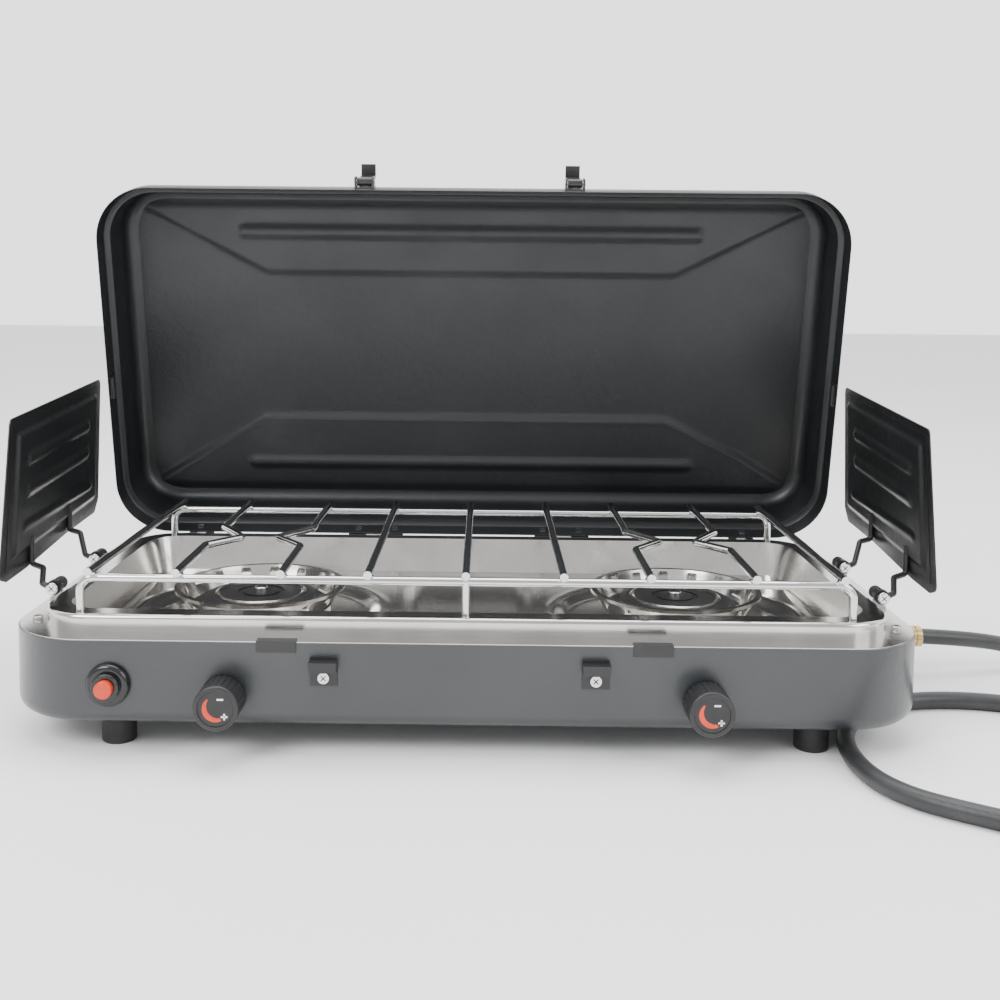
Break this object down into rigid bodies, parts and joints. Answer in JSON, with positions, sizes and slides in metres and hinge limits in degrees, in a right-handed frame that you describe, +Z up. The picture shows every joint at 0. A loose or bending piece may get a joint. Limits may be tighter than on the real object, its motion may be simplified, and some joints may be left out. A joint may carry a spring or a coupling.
{
  "type": "camp stove",
  "caption": "Two-burner gas camp stove with a hinged lid, folding wind shields, a lift-off wire grate, turning knobs and a gas hose.",
  "frame": {"origin": "on the table, under the middle of the stove's box without its hose, in its rest pose with the lid open and the wind shields up", "axes": "+X to the stove's right as the cook faces it, +Y towards the lid, +Z up"},
  "size_m": [0.8791, 0.4828, 0.4017],
  "materials": {
    "body_paint": "textured semi-gloss powder coat, dark slate grey",
    "lid_enamel": "black satin enamel",
    "shield_paint": "fine-textured black",
    "stainless": "brushed stainless steel",
    "chrome": "bright chrome plate",
    "black_steel": "black coated steel",
    "burner_black": "matt black heat-proof enamel",
    "burner_ring": "polished steel",
    "rubber": "matt black rubber",
    "hose_rubber": "dark fabric-marked rubber",
    "knob_black": "satin black plastic",
    "dial_print": "printed disc with a white minus, a white plus and an orange crescent",
    "button_orange": "glossy orange-red plastic",
    "bezel_black": "glossy black plastic",
    "brass": "machined brass",
    "ceramic": "white glazed ceramic",
    "lead_wire": "red wire insulation",
    "zinc": "zinc-plated steel"
  },
  "bodies": {
    "stove_body": {"body_screws": "zinc", "body_shell": "body_paint", "burner_bowl_left": "stainless", "burner_bowl_right": "stainless", "burner_brackets": "zinc", "burner_cap_left": "burner_black", "burner_cap_right": "burner_black", "burner_heads": "burner_ring", "cap_screws": "chrome", "catch_rivets": "chrome", "electrode_tips": "zinc", "electrodes": "ceramic", "feet": "rubber", "flame_rings": "burner_ring", "front_catches": "black_steel", "gas_inlet": "brass", "gas_pipes": "zinc", "hinge_body_leaves": "chrome", "hinge_body_rivets": "chrome", "hose_connector": "brass", "hose_end_ferrule": "brass", "hose_ferrule": "brass", "hose_tube": "hose_rubber", "igniter_bezel": "bezel_black", "igniter_leads": "lead_wire", "igniter_nut": "zinc", "jets": "brass", "mixer_tubes": "zinc", "piezo_unit": "ceramic", "pivot_brackets": "chrome", "pivot_bushes": "rubber", "pivot_screws": "chrome", "tray": "stainless", "tray_clips": "black_steel", "valve_plates": "zinc", "valves": "brass"},
    "lid": {"lid_shell": "lid_enamel", "lid_rivets": "chrome", "lid_clips": "black_steel", "hinge_lid_leaves": "chrome", "hinge_pins": "chrome", "latch_bases": "black_steel", "latch_pins": "chrome"},
    "latch_left": {"latch_lever_left": "black_steel"},
    "latch_right": {"latch_lever_right": "black_steel"},
    "wind_shield_left": {"wind_shield_left": "shield_paint", "shield_wires_left": "black_steel"},
    "wind_shield_right": {"wind_shield_right": "shield_paint", "shield_wires_right": "black_steel"},
    "knob_left": {"knob_left": "knob_black", "dial_left": "dial_print", "valve_stem_left": "brass"},
    "knob_right": {"knob_right": "knob_black", "dial_right": "dial_print", "valve_stem_right": "brass"},
    "igniter_button": {"igniter_button": "button_orange"},
    "grate": {"grate_rails": "chrome", "grate_straight_rods": "chrome", "grate_zigzag_rods": "chrome"}
  },
  "joints": [
    {"name": "lid_hinge", "type": "hinge", "parent": "stove_body", "child": "lid", "pos_m": [0, 0.12932, 0.076], "axis": [-1, 0, 0], "range_deg": [-78, 0]},
    {"name": "latch_left_hinge", "type": "hinge", "parent": "lid", "child": "latch_left", "pos_m": [-0.089, 0.07609, 0.38417], "axis": [-1, 0, 0], "range_deg": [-180, 0]},
    {"name": "latch_right_hinge", "type": "hinge", "parent": "lid", "child": "latch_right", "pos_m": [0.083, 0.07609, 0.38417], "axis": [-1, 0, 0], "range_deg": [-180, 0]},
    {"name": "wind_shield_left_fold", "type": "hinge", "parent": "stove_body", "child": "wind_shield_left", "pos_m": [-0.288, -0.04367, 0.0875], "axis": [0, -1, 0], "range_deg": [-82, 0]},
    {"name": "wind_shield_right_fold", "type": "hinge", "parent": "stove_body", "child": "wind_shield_right", "pos_m": [0.288, -0.04367, 0.0875], "axis": [0, 1, 0], "range_deg": [-82, 0]},
    {"name": "knob_left_turn", "type": "hinge", "parent": "stove_body", "child": "knob_left", "pos_m": [-0.1525, -0.17567, 0.0393], "axis": [0, -1, 0], "range_deg": [0, 240]},
    {"name": "knob_right_turn", "type": "hinge", "parent": "stove_body", "child": "knob_right", "pos_m": [0.1525, -0.17567, 0.0393], "axis": [0, -1, 0], "range_deg": [0, 240]},
    {"name": "igniter_press", "type": "slide", "parent": "stove_body", "child": "igniter_button", "axis": [0, 1, 0], "range_m": [0, 0.004], "stiffness_N_per_m": 1500},
    {"name": "grate_lift", "type": "slide", "parent": "stove_body", "child": "grate", "axis": [0, 0, 1], "range_m": [0, 0.1]}
  ]
}
